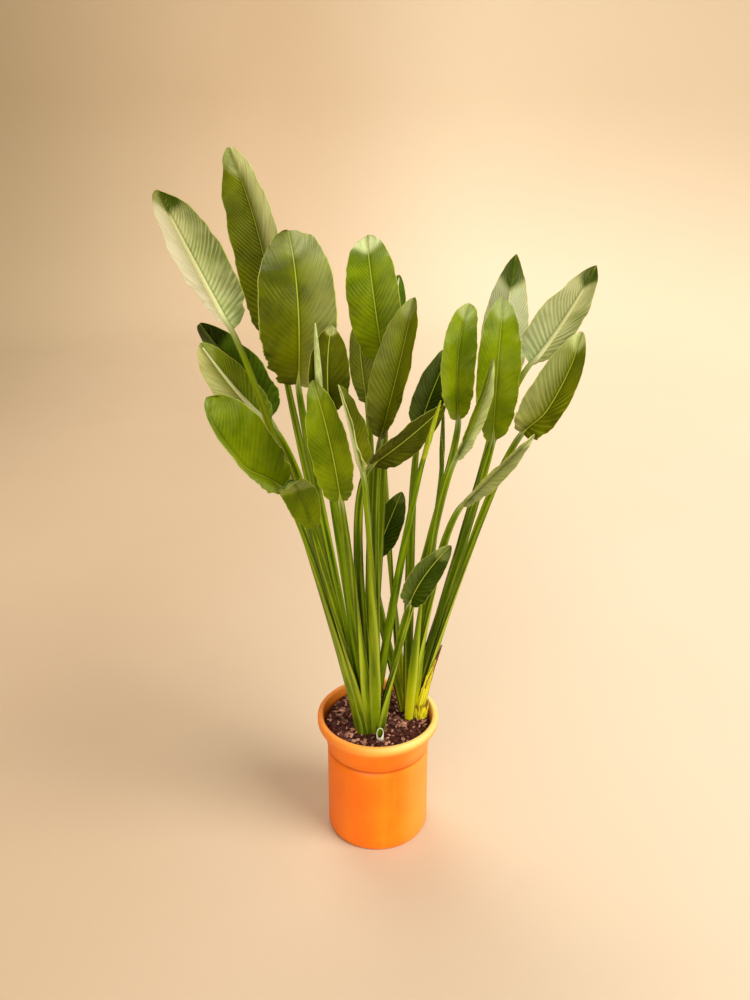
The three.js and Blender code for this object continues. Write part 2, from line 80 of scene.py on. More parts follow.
FRONT_LEAVES = [
    leaf_row((-50, -40), (-235, -60, 1040), (-280, -95, 1155), (-310, -165, 1260), 98, 156, 20, "pale",
        shade=0.15, tip_shade=(0.86, -0.9), halves=(0.75, -0.7), point=0.25, vein=1.3),
    leaf_row((-38, -5), (-175, 110, 970), (-205, 125, 1155), (-260, 190, 1305), 102, -18, 26, "olive",
        tip_shade=(0.86, 0.4), halves=(-0.2, 0.75), ripple=3.8, vein=1.6),
    leaf_row((-34, -30), (-130, -70, 955), (-125, -90, 1095), (-150, 60, 1180), 124, 0, 12, "olive",
        approach=0.08, tip_shade=(0.8, 0.2), halves=(-0.4, 0.16), crumple=6.5, ripple=4, vein=0.45),
    leaf_row((-50, -16), (-190, 10, 870), (-240, 10, 950), (-290, -35, 1045), 92, 150, 20, "dark",
        tip_shade=(0.8, -0.95), halves=(0.2, 0), ripple=4),
    leaf_row((-50, -28), (-185, -25, 870), (-235, -45, 935), (-280, -95, 1025), 72, 200, 20, "pale",
        look="olive", halves=(0.65, -0.1), keel=0.9),
    leaf_row((-42, -54), (-160, -110, 785), (-220, -150, 890), (-265, -150, 955), 96, 20, 18, "bright",
        tilt=48, shade=-0.1, tip_shade=(0.9, 0.2), halves=(0.2, -0.25), crumple=5, ripple=2.6,
        vein=0.7, aside=0.6, rib=0.6),
    leaf_row((-28, -54), (-110, -112, 714), (-134, -132, 800), (-149, -176, 811), 60, 0, 14, "bright",
        shade=-0.3, tip_shade=(0.42, 0.45), vein=0.3, rib=0, keel=0),
    leaf_row((-34, -42), (-78, -120, 922), (-79, -130, 998), (-72, -125, 1062), 70, 20, 14, "dark",
        look="olive", shade=-0.45, tip_shade=(0.88, 0.9), point=0.55, vein=0.4),
    leaf_row((-14, -54), (-60, -170, 790), (-75, -185, 895), (-100, -160, 985), 68, -10, 18, "olive",
        look="bright", shade=-0.1, point=0.4, vein=0.5, stout=1.1),
    leaf_row((0, -54), (-25, -190, 850), (-40, -195, 920), (-60, -185, 985), 48, 70, 35, "pale",
        look="olive", halves=(0.7, -0.3), point=0.4, vein=0.6, stout=1.1),
    leaf_row((-20, -18), (9, 40, 962), (-9, 25, 1088), (-20, 130, 1162), 90, -5, 12, "olive",
        look="bright", tip_shade=(0.84, 0.75), halves=(0, 0.06), crumple=4.5),
    leaf_row((-24, -6), (-20, 75, 880), (-30, 75, 955), (-35, 90, 1030), 46, 10, 18, "dark",
        look="olive", shade=0.04),
    leaf_row((8, -30), (5, -20, 845), (35, -30, 975), (60, 5, 1080), 84, -35, 40, "olive",
        halves=(0.06, -0.1), point=0.4, stout=1.1),
    leaf_row((-6, -30), (-10, -60, 810), (50, -80, 865), (110, -60, 915), 58, 0, 16, "olive",
        tilt=-30, shade=-0.5, point=0.4, stout=1.1),
    leaf_row((8, -42), (135, -40, 885), (130, -55, 1000), (155, 30, 1065), 60, 0, 24, "bright",
        approach=0.12, shade=-0.12, tip_shade=(0.82, 0.4), halves=(0.15, -0.2), vein=0.3, rib=0),
    leaf_row((14, -54), (57, -75, 550), (82, -90, 614), (126, -85, 670), 55, -10, 24, "dark",
        tip_shade=(0.8, 0.3), halves=(0.12, -0.1), point=0.35, crumple=4, ripple=4.5),
]

REAR_LEAVES = [
    leaf_row((46, 39), (10, 190, 895), (25, 200, 985), (40, 235, 1080), 64, 195, 16, "dark", shade=-0.2),
    leaf_row((58, 27), (76, 65, 833), (97, 60, 905), (131, 75, 981), 60, -20, 18, "dark",
        halves=(0.15, 0)),
    leaf_row((72, 30), (225, 150, 855), (235, 170, 990), (245, 150, 1130), 90, 170, 16, "pale",
        shade=0.3, tip_shade=(0.8, -1.2), point=0.7, vein=1.4),
    leaf_row((74, 15), (200, -5, 835), (200, -20, 985), (215, 60, 1070), 76, 5, 12, "bright",
        approach=0.06, tip_shade=(0.8, 0.35), halves=(0, -0.1), point=0.5, vein=0.2, rib=0.4),
    leaf_row((60, -11), (130, -65, 820), (165, -70, 910), (185, -60, 995), 36, 10, 55, "pale",
        look="bright", shade=0.2, halves=(-0.8, 0.35), point=0.5),
    leaf_row((87, 28), (260, 15, 965), (305, 0, 1040), (340, -55, 1140), 88, 200, 18, "pale",
        tip_shade=(0.86, -1), halves=(0.15, -0.4), point=0.7, vein=1.4),
    leaf_row((89, 5), (240, -70, 870), (281, -80, 943), (332, -35, 1032), 76, -20, 30, "olive",
        tip_shade=(0.88, 0.4), halves=(0.2, -0.05), point=0.3, crumple=4, vein=1.4, aside=-0.25),
    leaf_row((75, 5), (145, -80, 745), (199, -96, 813), (252, -114, 882), 42, 0, 62, "olive",
        shade=0.3, tip_shade=(0.86, 0.5), point=0.5),
    leaf_row((44, 27), (-5, 75, 570), (20, 72, 640), (45, 75, 705), 56, 0, 16, "dark", point=0.3),
]

# Rolled young leaves: name, foot, base, tip, radius and tone.
SPEARS = [
    ("front_spear_left", (-20, -42), (-90, -150, 945), (-95, -150, 1070), 7, "pale"),
    ("front_spear_right", (-6, -42), (75, -95, 835), (100, -100, 935), 6, "bright"),
    ("rear_spear", (61, 16), (115, 30, 770), (115, 30, 880), 6, "dark"),
]

CLUMPS = (("front", FRONT_LEAVES), ("rear", REAR_LEAVES))
CLUMP_CENTRES = {"front": (-16, -32), "rear": (68, 14)}
SEEDS = {"front": 1, "rear": 41, "spears": 71}

# -------- detail of the looks, in mm
BLADE = dict(
    half_columns=11,        # columns of faces from midrib to margin
    rows_per_vein=6,
    vein_pitch=8.6,
    vein_height=0.42,
    vein_slant=1.5,         # rise of a side vein over its run, halfway along the blade
    thickness=0.9,
    extra_fold=5.0,         # degrees more than in the frame
    edge_share=0.97,        # the pale margin starts here
)
STALK = dict(
    sides=20, rows=70, keel_rows=44,
    halves=((8.6, 4.6), (10, 5.6), (8.8, 5.8), (4.8, 4)),  # half width and half depth
    halves_at=(0.0, 0.28, 0.55, 1.0),  # where along the stalk
    channel=(0.72, 0.4, 0.42),  # depth of the channel at foot, middle and neck
    huddle=0.74,            # the feet stand at this share of the way from their clump's middle
    below=14.0,             # how far the foot goes on down into the mix
)
SPEAR = dict(sides=28, rows=33, slimmer=0.85, flatter=0.85, step=0.16, winding=0.55)
DRAIN_HOLES = dict(count=6, radius=5, from_middle=68)
CHIPS = dict(
    count=1050,
    lengths=(4.0, 6.5, 10.0, 14.0),
    shares=(0.27, 0.38, 0.27, 0.08),
    spread=101,             # their middles lie this far out at most
    reach=103,              # and their ends this far
    from_stalks=5.5,
)


# -------- small helpers
def smooth(low, high, value):
    t = np.clip((value - low) / (high - low), 0, 1)
    return t * t * (3 - 2 * t)


def unit(vectors):
    return vectors / np.linalg.norm(vectors, axis=-1, keepdims=True)


def circle(count):
    return np.linspace(0, TURN, count, endpoint=False)


def hex_colour(text):
    """A colour as the eye reads it, turned into the linear numbers that shaders take."""
    channels = [int(text[i:i + 2], 16) / 255 for i in (1, 3, 5)]
    return [c / 12.92 if c <= 0.04045 else ((c + 0.055) / 1.055) ** 2.4 for c in channels] + [1.0]


def at(table, places, keys=None):
    """Rows of a table at any places along its keys, which else run evenly from 0 to 1."""
    keys = np.linspace(0, 1, len(table)) if keys is None else keys
    return np.stack([np.interp(places, keys, column) for column in table.T], axis=-1)


def lengthened(rows, end):
    """Rows with their first one twice, for the foot in the mix, and with an end added."""
    return np.concatenate([rows[:1], rows, end])


def wander(places, seed, length):
    """A smooth random curve between about -1 and 1, with waves of about the given length."""
    source = np.random.default_rng(seed)
    total = np.zeros_like(places, dtype=float)
    for octave in range(4):
        phase = source.uniform(0, TURN)
        stretch = source.uniform(0.75, 1.3) * 1.7 ** octave
        total += np.sin(TURN * places * stretch / length + phase) / 1.6 ** octave
    return total / 2.1


def build_mesh(name, points, faces, attributes=None, uv=None):
    """A mesh object from points in mm. Attributes are per point; uv is per face corner."""
    mesh = bpy.data.meshes.new(name)
    faces = faces.tolist() if isinstance(faces, np.ndarray) else faces
    mesh.from_pydata((np.asarray(points) * MM).tolist(), [], faces)
    mesh.polygons.foreach_set("use_smooth", [True] * len(mesh.polygons))
    for key, values in (attributes or {}).items():
        values = np.asarray(values, dtype=np.float32)
        kind, field = ("FLOAT", "value") if values.ndim == 1 else ("FLOAT_VECTOR", "vector")
        mesh.attributes.new(key, kind, "POINT").data.foreach_set(field, values.ravel())
    if uv is not None:
        layer = mesh.uv_layers.new(name="OFBake")
        layer.data.foreach_set("uv", np.asarray(uv, dtype=np.float32).ravel())
    mesh.update()
    piece = bpy.data.objects.new(name, mesh)
    bpy.context.scene.collection.objects.link(piece)
    return piece


def ring_faces(rows, sides):
    """Quads of a tube of rings that is open at its ends, and their corners as (side, row)."""
    row, side = np.divmod(np.arange((rows - 1) * sides), sides)
    corners = np.stack([side, row, side + 1, row, side + 1, row + 1, side, row + 1], 1)
    corners = corners.reshape(-1, 4, 2)
    return corners[..., 1] * sides + corners[..., 0] % sides, corners


def ring_points(points, up, tangent, x, y):
    """Rings round the points of a line: x is measured to its side and y in its up direction."""
    side = unit(np.cross(up, tangent))
    return points[:, None] + side[:, None] * x[..., None] + up[:, None] * y[..., None]


def per_point(shape, *values):
    """Values for all points of a grid of rings, each given per point, per ring or once."""
    return np.stack([np.broadcast_to(value, shape) for value in values], -1).reshape(-1, len(values))


def flat_ends(rows, sides, last, count):
    """Quads that close both ends of a flat tube, where side j lies against side last - j."""
    return [[start + corner for corner in (j, j + 1, last - j - 1, last - j)[::step]]
            for start, step in ((0, -1), ((rows - 1) * sides, 1)) for j in range(count)]


def fanned(ring, bottom, top):
    """Points and faces of a tube of rings whose ends are fans round a bottom and a top point."""
    rows, sides = ring.shape[:2]
    low, last = rows * sides, (rows - 1) * sides
    faces = ring_faces(rows, sides)[0].tolist()
    faces += [[low, (j + 1) % sides, j] for j in range(sides)]
    faces += [[low + 1, last + j, last + (j + 1) % sides] for j in range(sides)]
    return ring.reshape(-1, 3).tolist() + [bottom, top], faces


def closed_tube(name, ring, attributes, angles=None):
    """A tube of rings that is closed at both ends. With angles it gets a UV map."""
    rows, count = ring.shape[:2]
    faces, corners = ring_faces(rows, count)
    ends = [list(range(count))[::-1], [(rows - 1) * count + j for j in range(count)]]
    uv = None
    if angles is not None:
        wall = np.stack([corners[..., 0] / count, 0.02 + 0.95 * corners[..., 1] / (rows - 1)], -1)
        end_uv = [(middle + 0.005 * math.cos(a), 0.99 + 0.005 * math.sin(a))
                  for middle in (0.25, 0.75) for a in angles]
        uv = np.concatenate([wall.reshape(-1, 2), end_uv])
    return build_mesh(name, ring.reshape(-1, 3), faces.tolist() + ends, attributes, uv)


def finish_piece(piece, material, slot, *nodes):
    piece.data.materials.append(material)
    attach(piece, "root")
    if nodes:
        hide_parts(*nodes)


# -------- curves
def carried(points, first_up):
    """Tangents, and an up direction carried along them without twisting."""
    tangents = unit(np.gradient(points, axis=0))
    ups = np.zeros_like(points)
    up = np.asarray(first_up, dtype=float)
    for index, tangent in enumerate(tangents):
        up = up - tangent * np.dot(up, tangent)
        up /= np.linalg.norm(up)
        ups[index] = up
    return tangents, ups


def midrib(leaf, count=240):
    base, middle, tip = (np.array(leaf[key], dtype=float) for key in ("base", "middle", "tip"))
    control = 2 * middle - 0.5 * (base + tip)
    t = np.linspace(0, 1, count)[:, None]
    return (1 - t) ** 2 * base + 2 * t * (1 - t) * control + t ** 2 * tip


def facing(leaf):
    azimuth, tilt = math.radians(leaf["face"]), math.radians(leaf["tilt"])
    return np.array([math.sin(azimuth) * math.cos(tilt), -math.cos(azimuth) * math.cos(tilt),
                     math.sin(tilt)])


def huddled(foot, clump):
    share = STALK["huddle"]
    return [c + share * (f - c) for f, c in zip(foot, CLUMP_CENTRES[clump])]


def stalk_path(foot, clump, end, direction, approach, count=200):
    start = np.array([*huddled(foot, clump), SOIL_TOP])
    length = np.linalg.norm(end - start)
    first = start + np.array([0, 0, STALK_RISE * length])
    second = end - direction * approach * length
    t = np.linspace(0, 1, count)[:, None]
    return ((1 - t) ** 3 * start + 3 * t * (1 - t) ** 2 * first
            + 3 * t ** 2 * (1 - t) * second + t ** 3 * end)


def half_width(leaf, t):
    """Half width along a blade. With `point` its far part narrows evenly to a sharp tip."""
    from_widest = np.abs(2 * t ** WIDEST - 1)
    swell = np.maximum(0, 1 - from_widest ** SQUARENESS) ** BLUNTNESS
    sharp = 1 - np.clip((t - 0.42) / 0.58, 0, 1) ** 1.9
    swell = np.where(t > 0.42, swell * (1 - leaf["point"]) + sharp * leaf["point"], swell)
    least = NECK_HALF_WIDTH + (TIP_HALF_WIDTH - NECK_HALF_WIDTH) * t
    return np.maximum(least * smooth(1.004, 0.97, t) + 0.35, 0.5 * leaf["width"] * swell)


def midrib_shift(leaf, t):
    """How far the midrib of a half-rolled blade lies to one side, in mm."""
    return leaf["aside"] * half_width(leaf, t) * smooth(0, 0.35, t) * smooth(1, 0.8, t)


# -------- blades
def leaf_shade(leaf, across, t):
    """Positive where painted light makes the blade paler, negative where painted shade makes it darker;
    the overall part is partly the leaf's own tone.
    """
    tip_start, tip_amount = leaf["tip_shade"]
    left, right = leaf["halves"]
    bent = t + 0.03 * np.cos(3 * across)
    shade = leaf["shade"] + tip_amount * smooth(tip_start - 0.03, tip_start + 0.04, bent)
    return shade + np.where(across < 0, left, right) * smooth(-0.1, 0.8, np.abs(across))


def blade_piece(name, leaf, seed):
    line = midrib(leaf)
    tangents, ups = carried(line, facing(leaf))
    sides = np.cross(ups, tangents)
    lengths = np.concatenate([[0], np.cumsum(np.linalg.norm(np.diff(line, axis=0), axis=1))])
    total = lengths[-1]

    # Rows follow the side veins: each row slants towards the tip on its way to the margin.
    veins = max(8, round(total / BLADE["vein_pitch"]))
    rows = veins * BLADE["rows_per_vein"] + 1
    n = BLADE["half_columns"]
    half = np.concatenate([(np.arange(n) / n) ** 1.45, [BLADE["edge_share"], 1]])
    u = np.concatenate([-half[:0:-1], half])
    off = np.abs(u)
    share = np.linspace(0, 1, rows)[:, None]
    slant = BLADE["vein_slant"] * 0.5 * leaf["width"] / total
    shift = slant * off ** 1.2 * 4 * share * (1 - share) * (0.75 + 0.5 * share)
    t = np.interp(np.clip(share + shift, 0, 1) * total, lengths, np.linspace(0, 1, len(line)))

    centre, up, side = at(line, t), at(ups, t), at(sides, t)
    half_w = half_width(leaf, t)
    neck = np.maximum(0, 1 - t / NECK_SHARE)
    fold = leaf["fold"] + BLADE["extra_fold"] + NECK_FOLD * neck
    lean = np.radians(np.minimum(MAXIMUM_FOLD, fold)) * (1 - 0.5 * FLATTEN * off)
    x = half_w * off
    out = np.sign(u) * x * np.cos(lean)
    lift = x * np.sin(lean)
    out += midrib_shift(leaf, t) * (1 - off)

    # Waves along the margins, each side its own, and a crumpled base.
    distance = t * total
    basal = smooth(0.42, 0.05, t) * smooth(0, 0.06, t)
    ripple, crumple = leaf["ripple"], leaf["crumple"]
    for sign in (-1, 1):
        near = off ** 2.6 * (np.sign(u) == sign)
        lift += near * ripple * wander(distance, seed * 7 + sign, 95)
        lift += near * basal * crumple * wander(distance, seed * 13 + sign, 30)
        out += sign * near * basal * 0.8 * crumple * wander(distance, seed * 17 + sign, 26)
        out += sign * near * 0.9 * wander(distance, seed * 19 + sign, 60) * smooth(1, 0.9, t)
    lift += 1.2 * wander(distance, seed * 3, 150) * off
    quilt = wander(distance + 30 * u, seed * 29, 42) * smooth(0.1, 0.45, off) * smooth(3, 16, half_w)
    lift += 0.9 * quilt * smooth(1, 0.85, off)

    # Side veins: fine ridges below and furrows above, gone at the midrib and the margin.
    phase = (np.arange(rows) % BLADE["rows_per_vein"])[:, None]
    ridge = np.choose(phase, [1, 0.45, 0.1, 0, 0.1, 0.45])
    furrow = np.choose(phase, [0, 0, 0.3, 1, 0.3, 0])
    fade = smooth(0, 0.10, off) * smooth(1, 0.9, off) * smooth(0, 0.06, t)
    fade = fade * smooth(1, 0.93, t) * smooth(3, 14, half_w)
    strength = (0.7 + 0.3 * wander(distance + 40 * np.sign(u), seed * 23, 80)) * leaf["vein"]
    vein = (ridge ** 2.4 - furrow) * fade * strength
    veins_lift = -BLADE["vein_height"] * ridge * fade * strength

    # A ring runs over the upper side, round the margin and back along the lower side.
    def round_blade(upper, rim, lower):
        return np.concatenate([upper, rim[:, -1:], lower[:, ::-1], rim[:, :1]], axis=1)

    def lifted(extra):
        return centre + side * out[..., None] + up * (lift + extra)[..., None]

    thin = 0.5 * BLADE["thickness"] * (1 - 0.35 * off)
    groove = 0.5 * np.exp(-(x / 1.6) ** 2)
    rim = lifted(veins_lift) + side * (np.sign(u) * 0.25)[:, None]
    ring = round_blade(lifted(veins_lift + thin - groove), rim, lifted(veins_lift - thin))
    columns, count = len(u), ring.shape[1]
    faces, corners = ring_faces(rows, count)
    faces = faces.tolist() + flat_ends(rows, count, 2 * columns, columns - 1)

    # The map's u runs once round the ring, in steps as wide as the faces are.
    ring_u = np.concatenate([u, [1.02], u[::-1], [-1.02]])
    steps = np.abs(np.diff(np.append(ring_u, ring_u[0]))) + 0.004
    around = np.concatenate([[0], np.cumsum(steps)]) / steps.sum()
    uv = np.stack([around[corners[..., 0]], 0.01 + 0.965 * corners[..., 1] / (rows - 1)], -1)
    end_uv = []
    for low, step in ((0.982, -1), (0.992, 1)):
        for j in range(columns - 1):
            left, right = j / columns, (j + 1) / columns
            end_uv += [(left, low), (right, low), (right, low + 0.006), (left, low + 0.006)][::step]

    def spread(values):
        values = np.broadcast_to(values, t.shape)
        return round_blade(values, values, values)

    under = np.repeat([0, 0.5, 1, 0.5], [columns, 1, columns, 1])
    # Painted light and shade over the blade, together with the leaf's own paler or darker tone.
    shade = leaf_shade(leaf, u * np.sign(sides[:, 0].mean()), t)
    attributes = dict(
        place=per_point((rows, count), ring_u, spread(t), under),
        vein=spread(vein).ravel(),
        fine=per_point((rows, count), spread(share * veins), spread(x) / 10, spread(t)),
        rib=np.full(rows * count, leaf["rib"]),
        shade=spread(shade).ravel(),
    )
    piece = build_mesh(name, ring.reshape(-1, 3), faces, attributes,
                       np.concatenate([uv.reshape(-1, 2), end_uv]))
    finish_piece(piece, LEAF_MATERIALS[leaf["look"]], "leaf_" + leaf["tone"], name)


# -------- stalks
def stalk_halves(places):
    """Half width and half depth along a stalk: a broad foot, a slender neck."""
    return at(np.array(STALK["halves"]), places, STALK["halves_at"])


def stalk_course(leaf, clump):
    """A stalk's line, the way its channel faces all along it, and its tangents."""
    line = midrib(leaf)
    direction = unit(line[1] - line[0])
    end = line[0] - NECK_GAP * direction
    path = stalk_path(leaf["foot"], clump, end, direction, leaf["approach"])
    centre = CLUMP_CENTRES[clump]
    inward = np.array([0.5 * (centre[0] - leaf["foot"][0]), centre[1] - leaf["foot"][1], 0])
    if np.linalg.norm(inward) < 3:
        inward = np.array([0, 1, 0])
    tangents, ups = carried(path, inward)
    # Turn the channel round so that it meets the blade's upper side.
    wanted = facing(leaf)
    wanted = unit(wanted - tangents[-1] * np.dot(wanted, tangents[-1]))
    cross = np.cross(ups[-1], wanted)
    turn = math.atan2(np.dot(cross, tangents[-1]), np.dot(ups[-1], wanted))
    angle = (turn * smooth(0.08, 0.95, np.linspace(0, 1, len(path))))[:, None]
    return path, ups * np.cos(angle) + np.cross(tangents, ups) * np.sin(angle), tangents


def stalk_piece(name, leaf, clump, seed):
    path, ups, tangents = stalk_course(leaf, clump)
    places = np.linspace(0, 1, STALK["rows"])
    foot, middle, neck = STALK["channel"]
    channel = np.where(places < 0.5,
                       foot + (middle - foot) * smooth(0, 0.5, places),
                       middle + (neck - middle) * smooth(0.5, 1, places))

    # Above the neck the stalk becomes the midrib's keel.
    line = midrib(leaf)
    keel = np.linspace(0, 1, STALK["keel_rows"] + 1)[1:] * 0.97
    keel_tangent, keel_up = (at(table, keel) for table in carried(line, ups[-1]))
    neck_width, neck_depth = STALK["halves"][-1]
    thickness = neck_depth * (1 - keel) ** 0.7 + 0.55
    width = (neck_width * 0.8) * (1 - keel) ** 0.6 + 0.6
    offset = thickness * 0.82 * smooth(0, 0.12, keel) + 0.2
    aside = np.cross(keel_up, keel_tangent) * midrib_shift(leaf, keel)[:, None]
    points = lengthened(at(path, places), at(line, keel) - keel_up * offset[:, None] + aside)
    points[0, 2] -= STALK["below"]
    up, tangent = lengthened(at(ups, places), keel_up), lengthened(at(tangents, places), keel_tangent)
    halves = lengthened(stalk_halves(places) * leaf["stout"], np.stack([width, thickness], 1))
    channel = lengthened(channel, neck * smooth(0.15, 0, keel))
    along = lengthened(places, 1 + keel)

    # Across, a stalk is round behind and has its channel in the middle of its upper side.
    count = STALK["sides"]
    angles = circle(count) + math.pi / 2
    near = np.where(angles > math.pi * 1.5, angles - TURN, angles)
    dip = 1 - channel[:, None] * np.exp(-((near - math.pi / 2) / 0.62) ** 2)
    wave = 1 + 0.03 * wander(along * 700, seed, 120)[:, None]
    ring = ring_points(points, up, tangent, halves[:, :1] * np.cos(near) * wave,
                       halves[:, 1:] * np.sin(near) * dip)

    # Under a blade's painted dark tip, the keel loses its pale colour too.
    tip_start, tip_amount = leaf["tip_shade"]
    tip_dark = (tip_amount < 0) * smooth(tip_start - 0.06, tip_start, along - 1)
    # The rear clump's feet are yellow, and the front clump's get painted shade low down among the crowded
    # feet, which is below zero.
    yellow_foot_and_shade = 0.85 * smooth(0.36, 0, along) if clump == "rear" else -0.5 * smooth(0.42, 0.04, along)
    attributes = dict(
        place=per_point(ring.shape[:2], np.abs(np.linspace(-1, 1, count, endpoint=False)),
                        along[:, None], seed * 0.37),
        yellow_foot_and_shade=np.repeat(yellow_foot_and_shade, count),
        pale=np.repeat(leaf["keel"] * (1 - tip_dark), count),
        rib=np.full(len(along) * count, leaf["rib"]),
    )
    finish_piece(closed_tube(name, ring, attributes, angles), STALK_MATERIAL, "stalk", name)


def spear_piece(name, foot, base, tip, radius, tone, seed):
    """A young leaf that is still rolled, with its stalk."""
    base, tip = np.array(base, float), np.array(tip, float)
    path = stalk_path(foot, name.split("_")[0], base, unit(tip - base), STALK_APPROACH)
    tangents, ups = carried(path, (0, 1, 0))
    places = np.linspace(0, 1, STALK["rows"])
    roll = np.linspace(0, 1, SPEAR["rows"] + 1)[1:]
    neck_depth = STALK["halves"][-1][1]
    radii = (neck_depth + (radius - neck_depth) * np.minimum(1, roll * 3)) * np.sqrt(1.02 - roll)
    points = lengthened(at(path, places), base + (tip - base) * roll[:, None])
    points[0, 2] -= STALK["below"]
    up, tangent = (lengthened(at(table, places), np.repeat(table[-1:], len(roll), 0))
                   for table in (ups, tangents))
    halves = lengthened(stalk_halves(places) * SPEAR["slimmer"],
                        np.stack([radii, SPEAR["flatter"] * radii], 1))
    along = lengthened(places, 1 + roll)
    angles = circle(SPEAR["sides"])
    # The outer margin of the roll makes a step that winds round it.
    winding = (angles / TURN + SPEAR["winding"] * np.maximum(0, along - 1)[:, None]) % 1
    rolled = 1 + SPEAR["step"] * (winding - 0.5) * smooth(0.96, 1.1, along)[:, None]
    ring = ring_points(points, up, tangent, halves[:, :1] * np.cos(angles) * rolled,
                       halves[:, 1:] * np.sin(angles) * rolled)
    place = per_point(ring.shape[:2], winding, along[:, None], seed * 0.37)
    piece = closed_tube(name, ring, dict(place=place), angles)
    finish_piece(piece, SPEAR_MATERIALS[tone], "leaf_" + tone, name)


# -------- materials
class Surface:
    """A material whose nodes are added one by one, ending in one Principled shader."""

    def __init__(self, name):
        self.material = bpy.data.materials.new(name)
        self.material.use_nodes = True
        self.tree = self.material.node_tree
        self.shader = self.tree.nodes["Principled BSDF"]
        self.colour = None

    def feed(self, socket, value):
        """Link a socket, or set it. A colour may be given as text."""
        if isinstance(value, bpy.types.NodeSocket):
            self.tree.links.new(value, socket)
        else:
            socket.default_value = hex_colour(value) if isinstance(value, str) else value

    def add(self, kind, inputs, output=0, **settings):
        node = self.tree.nodes.new("ShaderNode" + kind)
        for key, value in settings.items():
            setattr(node, key, value)
        for key, value in inputs.items():
            self.feed(node.inputs[key], value)
        return node.outputs[output]

    def attribute(self, name, output="Fac"):
        return self.add("Attribute", {}, output, attribute_name=name)

    def object_space(self):
        return self.add("TexCoord", {}, "Object")

    def split(self, vector):
        return self.add("SeparateXYZ", dict(Vector=vector)).node.outputs

    def mix(self, factor, first, second):
        inputs = {0: factor, 6: first, 7: second}
        return self.add("Mix", inputs, 2, data_type="RGBA", clamp_factor=True)

    def paint(self, factor, colour):
        """Lay a colour over what is there, as thickly as the factor says."""
        self.colour = self.mix(factor, self.colour, colour)

    def math(self, operation, *values, clamp=False):
        return self.add("Math", dict(enumerate(values)), operation=operation, use_clamp=clamp)

    def times(self, first, second, clamp=False):
        return self.math("MULTIPLY", first, second, clamp=clamp)

    def ramp(self, value, low, high, start=0, stop=1):
        inputs = dict(enumerate((value, low, high, start, stop)))
        return self.add("MapRange", inputs, interpolation_type="SMOOTHSTEP")

    def band(self, value, start, full, fading, stop, most=1):
        """0 outside a band and 1, or the most it may be, within, with soft ends."""
        return self.times(self.ramp(value, start, full), self.ramp(value, stop, fading, 0, most))

    def noise(self, scale, vector=None, detail=4, roughness=0.55):
        """Noise between 0 and 1. With a scale for each axis, it is stretched."""
        vector = self.object_space() if vector is None else vector
        if isinstance(scale, tuple):
            vector, scale = self.add("Mapping", dict(Vector=vector, Scale=scale)), 1
        inputs = dict(Vector=vector, Scale=scale, Detail=detail, Roughness=roughness)
        return self.add("TexNoise", inputs, "Fac")

    def uneven(self, scale, gain, base):
        """A value that varies a little, for roughness."""
        return self.math("MULTIPLY_ADD", self.noise(scale), gain, base)

    def bump(self, height, distance, strength, normal=None):
        inputs = dict(Height=height, Distance=distance, Strength=strength)
        return self.add("Bump", inputs if normal is None else dict(inputs, Normal=normal))

    def finish(self, roughness, normal, **constants):
        self.feed(self.shader.inputs["Base Color"], self.colour)
        self.feed(self.shader.inputs["Roughness"], roughness)
        self.feed(self.shader.inputs["Normal"], normal)
        for key, value in constants.items():
            self.shader.inputs[key.replace("_", " ")].default_value = value
        return self.material


LEAF_GLOSS = (1, 1, 0.4, 1)  # waxy green skin mirrors light a little yellow


def leaf_material(name, upper, upper_light, under, under_light, vein, pale, dark):
    s = Surface(name)
    u, t, below = s.split(s.attribute("place", "Vector"))
    fine = s.attribute("fine", "Vector")
    veins, shade = s.attribute("vein"), s.attribute("shade")
    off_middle = s.split(fine)[1]
    mottle = s.ramp(s.noise(17, detail=5), 0.32, 0.68)
    streaks = s.ramp(s.noise((3.4, 0.35, 4), fine, 3), 0.3, 0.72)
    s.colour = s.mix(below, s.mix(mottle, upper, upper_light), s.mix(mottle, under, under_light))
    # Lengthwise streaks: partly the leaf's own tone, partly painted sheen.
    s.paint(s.times(streaks, 0.28), upper_light)
    s.paint(s.times(s.math("MAXIMUM", veins, 0), s.ramp(below, 0, 1, 0.3, 0.5)), vein)
    furrows = s.math("MAXIMUM", s.times(veins, -1), 0)
    s.paint(s.times(furrows, s.ramp(below, 0, 1, 0.16, 0.36)), dark)
    # Painted light and sheen where the shade attribute is above zero, and painted shade where it is
    # below, laid on in streaky patches.
    patches = s.math("ADD", s.times(s.noise(7), 0.6), s.times(streaks, 0.6))
    patches = s.math("ADD", patches, 0.4)
    s.paint(s.times(s.math("MAXIMUM", shade, 0), patches, clamp=True), pale)
    s.paint(s.times(s.math("MAXIMUM", s.times(shade, -1), 0), patches, clamp=True), dark)
    # The margin, and the midrib between two lines of painted shade where the blade folds along it.
    s.paint(s.ramp(s.math("ABSOLUTE", u), 0.975, 0.992, 0, 0.6), "#c8cc62")
    s.paint(s.ramp(off_middle, 0.55, 0.12, 0, 0.3), dark)
    rib = s.times(s.ramp(off_middle, 0.15, 0.06), s.attribute("rib"))
    s.paint(s.times(rib, s.math("MULTIPLY_ADD", t, -0.4, 0.8)), "#a9b42c")
    normal = s.bump(s.noise((9, 0.5, 6), fine, 2), 0.0006, 0.35)
    normal = s.bump(s.noise(420, detail=2), 0.0003, 0.25, normal)
    return s.finish(s.uneven(60, 0.16, 0.26), normal, Specular_IOR_Level=0.15, Specular_Tint=LEAF_GLOSS)


